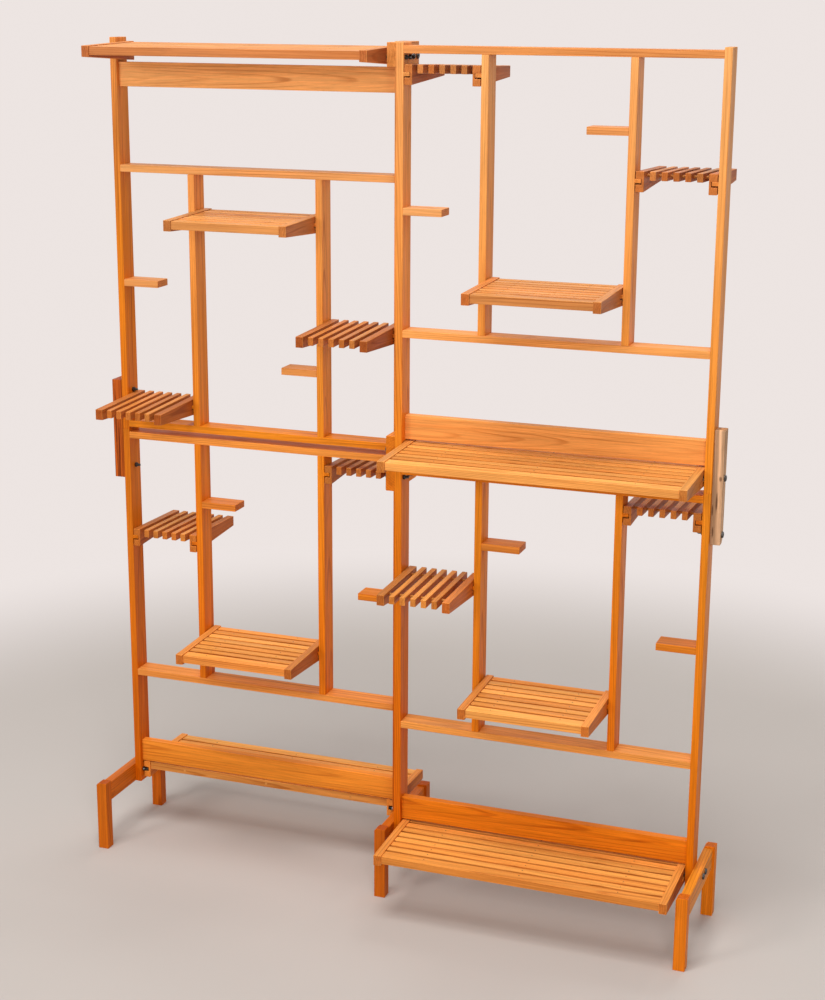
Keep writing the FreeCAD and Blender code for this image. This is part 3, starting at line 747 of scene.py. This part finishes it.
def boltSpots():
    # Where each bolt's head and nut sit, and which way it points, from the CAD bolts
    mesh = mergedCopy("bolts")
    heads = []
    ends = []
    for island in islandsOf(mesh):
        low, high = corners(island)
        y, z = (low.y + high.y) / 2, (low.z + high.z) / 2
        outer = [vert.co.x for vert in island if math.hypot(vert.co.y - y, vert.co.z - z) > bolt["wide"]]
        toRight = sum(outer) / len(outer) < (low.x + high.x) / 2
        turn = (0.0, 0.0, 0.0 if toRight else math.pi)
        heads.append(((low.x + bolt["headHigh"] if toRight else high.x - bolt["headHigh"], y, z), turn))
        ends.append(((high.x - bolt["proud"] if toRight else low.x + bolt["proud"], y, z), turn))
    mesh.free()
    return heads, ends


headSpots, endSpots = boltSpots()
headPart, threadPart, nutPart = makeHead(), makeThread(), makeNut()
boltPiece = joinPieces([putOnSpots("boltHeads", headPart, headSpots, seeds["heads"], "steel"),
                        putOnSpots("boltEnds", threadPart, endSpots, seeds["ends"], "steel")], "bolts_steel")
standFor(boltPiece, "bolts", "frame")
nutPiece = putOnSpots("nuts_steel", nutPart, endSpots, seeds["nuts"], "steel")
standFor(nutPiece, "nuts", "frame")
for part in (headPart, threadPart, nutPart):
    bpy.data.objects.remove(part)
print("bolts and nuts", len(headSpots))


# Shelves. Each kind is made once with its hanging end at Y zero, its left side at X zero and its line
# of support at Z zero, and reaches to the back.

shelf = {
    "deep": 0.208, "droop": 0.006, "rise": 0.021, "bracketThick": 0.017,
    "crossSlats": 7, "crossWide": 0.0175, "slatHigh": 0.018, "lipWide": 0.028,
    "recess": 0.003, "sink": 0.002, "dowelShares": {"medium": (0.2, 0.8), "large": (0.15, 0.5, 0.85)},
    "longSlats": 5, "longWide": 0.012, "rodWide": 0.006, "rodTip": 0.038, "rodMount": 0.032,
    "rodSteps": 16, "rodHeart": 0.02, "dowelProud": 0.0002,
}

# A bracket is at least this many times as high as the rise and as long as the shelf is deep
bracketLeast = {"high": 1.6, "deep": 0.9}

# Painted shade on faces of the slats and brackets, chosen by the way that a face points
leftWay, rightWay, nearWay, farWay, upWay = (-1, 0, 0), (1, 0, 0), (0, -1, 0), (0, 1, 0), (0, 0, 1)
longSlatShade = {leftWay: 1.0, rightWay: 1.0}
crossSlatShade = {nearWay: 0.6, farWay: 0.6}
lipShade = {nearWay: 0.6, farWay: 0.4}
bracketShade = {leftWay: 0.85, rightWay: 0.85, farWay: 0.55, upWay: 0.3}

# Small nails that hold the slats to the dowels
pin = {"wide": 0.003, "proud": 0.00015, "sunk": 0.0012, "taper": 0.8, "steps": 12}

kindOf = {"wide": "large", "middle": "medium", "inner": "small", "outer": "small"}
slope = shelf["droop"] / shelf["deep"]


def shelfPlace(node):
    low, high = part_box(node)
    line = high.z - shelf["rise"]
    if node.endswith("rear"):
        return Matrix.Translation((low.x, low.y, line))
    return Matrix.Translation((high.x, high.y, line)) @ Matrix.Rotation(math.pi, 4, "Z")


def topAt(depth):
    return shelf["rise"] - slope * depth


def slatPart(name, near, far, sink, long, shadeByWay):
    # A slat between two depths, its top parallel to the plane of the shelf, with painted shade on the faces
    # that point the ways it is given
    mesh = bmesh.new()
    high = shelf["slatHigh"]
    nearTop, farTop = topAt(near) - sink, topAt(far) - sink
    section = [(near, nearTop - high), (far, farTop - high), (far, farTop), (near, nearTop)]
    sides = [[mesh.verts.new((x, y, z)) for y, z in section] for x in (0.0, long)]
    mesh.faces.new(sides[0][::-1])
    mesh.faces.new(sides[1])
    for index in range(4):
        after = (index + 1) % 4
        mesh.faces.new((sides[0][index], sides[0][after], sides[1][after], sides[1][index]))
    bmesh.ops.recalc_face_normals(mesh, faces=mesh.faces)
    roundEdges(mesh)
    markGrain(mesh, random.Random("grain of " + name), wholeSeed=False)
    paintShadeByWay(mesh, shadeByWay)
    return finishMesh(mesh, name, materials["shelf"])


def bracketPair(node):
    # The two brackets of a CAD shelf, brought to the place where shelves are made
    mesh = mergedCopy(node)
    mesh.transform(shelfPlace(node).inverted())
    for island in islandsOf(mesh):
        low, high = corners(island)
        tooLow = high.z - low.z < shelf["rise"] * bracketLeast["high"]
        if tooLow or high.y - low.y < shelf["deep"] * bracketLeast["deep"]:
            bmesh.ops.delete(mesh, geom=island, context="VERTS")
    roundEdges(mesh)
    markGrain(mesh, random.Random("brackets of " + node))
    paintShadeByWay(mesh, bracketShade)
    return finishMesh(mesh, "brackets", materials["shelf"])


def rodPart(long, proud=0.0):
    side = roundRadius(shelf["rodWide"] / 2)
    profile = [(-proud, None), (-proud, side), (long, side), (long, None)]
    part = turnedPart("rod", profile, shelf["rodSteps"], materials["dowel"])
    grain = part.data.attributes.new("grain", "FLOAT_VECTOR", "POINT")
    for entry, vert in zip(grain.data, part.data.vertices):
        entry.vector = (vert.co.x, vert.co.y, vert.co.z + shelf["rodHeart"])
    return part


def pinPart():
    half = pin["wide"] / 2
    profile = [(-pin["sunk"], None), (-pin["sunk"], roundRadius(half)), (0.0, roundRadius(half)),
               (pin["proud"], roundRadius(half * pin["taper"])), (pin["proud"], None)]
    part = turnedPart("pin", profile, pin["steps"], materials["nail"])
    part.data.transform(Matrix.Rotation(-math.pi / 2, 4, "Y"))
    return part


def inRow(name, part, count, first, step, seed, finish):
    values = {"Part": part, "Count": count, "First": first, "Step": step, "Seed": seed,
              "Finish": materials[finish]}
    return runTree(name, rowTree, None, values)


def longSlats(inner):
    slat = slatPart("longSlat", 0.0, shelf["deep"], 0.0, shelf["longWide"], longSlatShade)
    rod = rodPart(inner)
    side = shelf["bracketThick"]
    gap = (inner - shelf["longSlats"] * shelf["longWide"]) / (shelf["longSlats"] + 1)
    near, far = shelf["rodMount"], shelf["deep"] - shelf["rodTip"]
    made = [inRow("longSlats", slat, shelf["longSlats"], (side + gap, 0, 0), (shelf["longWide"] + gap, 0, 0),
                  seeds["longSlats"], "shelf"),
            inRow("rods", rod, 2, (side, near, topAt(near) - shelf["slatHigh"] / 2),
                  (0, far - near, topAt(far) - topAt(near)), seeds["rods"], "dowel")]
    for part in (slat, rod):
        bpy.data.objects.remove(part)
    return made


def crossSlats(kind, inner):
    side, recess, sink = shelf["bracketThick"], shelf["recess"], shelf["sink"]
    lipNear = shelf["deep"] - recess - shelf["lipWide"]
    slat = slatPart(kind + "Slat", 0.0, shelf["crossWide"], sink, inner, crossSlatShade)
    lip = slatPart(kind + "Lip", lipNear, shelf["deep"] - recess, sink, inner, lipShade)
    rod = rodPart(lipNear + shelf["lipWide"] / 2 - recess, shelf["dowelProud"])
    nail = pinPart()
    pitch = (lipNear - recess) / shelf["crossSlats"]
    step = (0, pitch, -slope * pitch)
    shares = shelf["dowelShares"][kind]
    rodTurn = (0.0, math.atan(slope), math.pi / 2)
    rodSpots = [((side + inner * share, recess, topAt(recess) - sink - shelf["slatHigh"] / 2), rodTurn)
                for share in shares]
    made = [inRow("crossSlats", slat, shelf["crossSlats"], (side, recess, -slope * recess), step,
                  seeds["crossSlats"], "shelf"),
            inRow("lip", lip, 1, (side, 0, 0), (0, 0, 0), seeds["lip"], "shelf"),
            putOnSpots("dowels", rod, rodSpots, seeds["dowels"], "dowel")]
    middle = recess + shelf["crossWide"] / 2
    for share in shares:
        first = (side + inner * share, middle, topAt(middle) - sink)
        made.append(inRow("pins", nail, shelf["crossSlats"] + 1, first, step, seeds["pins"], "nail"))
    for part in (slat, lip, rod, nail):
        bpy.data.objects.remove(part)
    return made


def makeShelf(kind, node):
    low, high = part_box(node)
    inner = high.x - low.x - 2 * shelf["bracketThick"]
    slats = longSlats(inner) if kind == "small" else crossSlats(kind, inner)
    return joinPieces([bracketPair(node)] + slats, kind + "Shelf")


def placeShelf(node, pattern):
    # A shelf of its own in its place, with other grain than the rest
    data = pattern.data.copy()
    data.transform(shelfPlace(node))
    shift = random.Random("tone of " + node).random()
    for entry in data.attributes["board"].data:
        entry.value = (entry.value + shift) % 1.0
    tone = toneOf(node)
    # Adds the node's darkening from the tones, which on the small shelves in the bays is painted shade
    if tone:
        for entry in data.attributes["darkening"].data:
            entry.value += tone["darkening"]
    piece = bpy.data.objects.new(node + "_slats", data)
    scene.collection.objects.link(piece)
    standFor(piece, node, node)


patterns = {
    "small": makeShelf("small", "shelf_lower_right_inner_front"),
    "medium": makeShelf("medium", "shelf_lower_right_middle_front"),
    "large": makeShelf("large", "shelf_lower_right_wide_front"),
}
for node in shelfNodes:
    kind = next(entry for word, entry in kindOf.items() if f"_{word}_" in node)
    placeShelf(node, patterns[kind])
for pattern in patterns.values():
    bpy.data.objects.remove(pattern)
print("shelves", len(shelfNodes))


# Floor, background, lamps and camera

stage = {"floorTone": (0.52, 0.475, 0.44), "backTone": (0.845, 0.78, 0.758), "roughness": 0.85,
         "radius": 12.0, "steps": 48, "blendFrom": 1.5, "blendTo": 2.7}


def backgroundRays(tree):
    # One for the rays that are to see the plain pale background, zero for those that light the object
    path = tree.nodes.new("ShaderNodeLightPath")
    seen = calc(tree, "MAXIMUM", path.outputs["Is Camera Ray"], path.outputs["Is Glossy Ray"])
    return calc(tree, "MAXIMUM", seen, path.outputs["Is Transmission Ray"])


def blendShaders(tree, factor, first, second, target):
    mix = tree.nodes.new("ShaderNodeMixShader")
    for socket, value in zip(mix.inputs, (factor, first, second)):
        feed(tree, socket, value)
    feed(tree, target, mix.outputs[0])


def makeFloor():
    # A plain pale floor that turns into the background's tone away from the stand
    mesh = bmesh.new()
    bmesh.ops.create_circle(mesh, cap_ends=True, segments=stage["steps"], radius=stage["radius"])
    material, tree, shader = newMaterial("paleFloor")
    shader.inputs["Base Color"].default_value = (*stage["floorTone"], 1)
    shader.inputs["Roughness"].default_value = stage["roughness"]
    away = vectorCalc(tree, "LENGTH", tree.nodes.new("ShaderNodeTexCoord").outputs["Object"])
    blend = span(tree, away, stage["blendFrom"], stage["blendTo"])
    blend.node.interpolation_type = "SMOOTHSTEP"
    glow = tree.nodes.new("ShaderNodeEmission")
    glow.inputs["Color"].default_value = (*stage["backTone"], 1)
    share = calc(tree, "MULTIPLY", blend, backgroundRays(tree))
    surface = tree.nodes["Material Output"].inputs["Surface"]
    blendShaders(tree, share, shader.outputs[0], glow.outputs[0], surface)
    finishMesh(mesh, "floor", material)


lamps = {
    "keyLeft": {"place": (-2.6, -4.2, 2.6), "size": 1.2, "power": 62},
    "keyRight": {"place": (2.1, -4.3, 2.5), "size": 1.2, "power": 64},
    "top": {"place": (0.0, -2.6, 7.4), "size": 3.0, "power": 310},
    "back": {"place": (0.6, 3.8, 6.0), "size": 2.5, "power": 90},
}
lampTarget = (0, 0, 1.0)
sky = {"tone": (1.0, 0.985, 0.97), "strength": 0.38}


def makeSky():
    world = bpy.data.worlds.new("studio")
    world.use_nodes = True
    tree = world.node_tree
    light = tree.nodes["Background"]
    light.inputs["Color"].default_value = (*sky["tone"], 1)
    light.inputs["Strength"].default_value = sky["strength"]
    plain = tree.nodes.new("ShaderNodeBackground")
    plain.inputs["Color"].default_value = (*stage["backTone"], 1)
    surface = tree.nodes["World Output"].inputs["Surface"]
    blendShaders(tree, backgroundRays(tree), light.outputs[0], plain.outputs[0], surface)
    scene.world = world


def aim(thing, target):
    thing.rotation_euler = (Vector(target) - thing.location).to_track_quat("-Z", "Y").to_euler()


def makeLamps():
    for name, lamp in lamps.items():
        data = bpy.data.lights.new(name, "AREA")
        data.size = lamp["size"]
        data.energy = lamp["power"]
        light = bpy.data.objects.new(name, data)
        light.location = lamp["place"]
        scene.collection.objects.link(light)
        aim(light, lampTarget)


photo = {"place": (1.4051, -3.7796, 2.0144), "yaw": 0.34905, "pitch": 0.26492, "roll": 0.00597,
         "lens": 67.0, "sensor": 36}


def makeCamera():
    data = bpy.data.cameras.new("photoView")
    data.lens = photo["lens"]
    data.sensor_width = photo["sensor"]
    camera = bpy.data.objects.new("photoView", data)
    scene.collection.objects.link(camera)
    camera.matrix_world = (Matrix.Translation(photo["place"]) @ Matrix.Rotation(photo["yaw"], 4, "Z")
                           @ Matrix.Rotation(math.pi / 2 - photo["pitch"], 4, "X")
                           @ Matrix.Rotation(photo["roll"], 4, "Z"))
    scene.camera = camera


makeFloor()
makeSky()
makeLamps()
makeCamera()
scene.view_settings.view_transform = "Standard"
print("stage, lamps and camera")

bpy.context.view_layer.update()
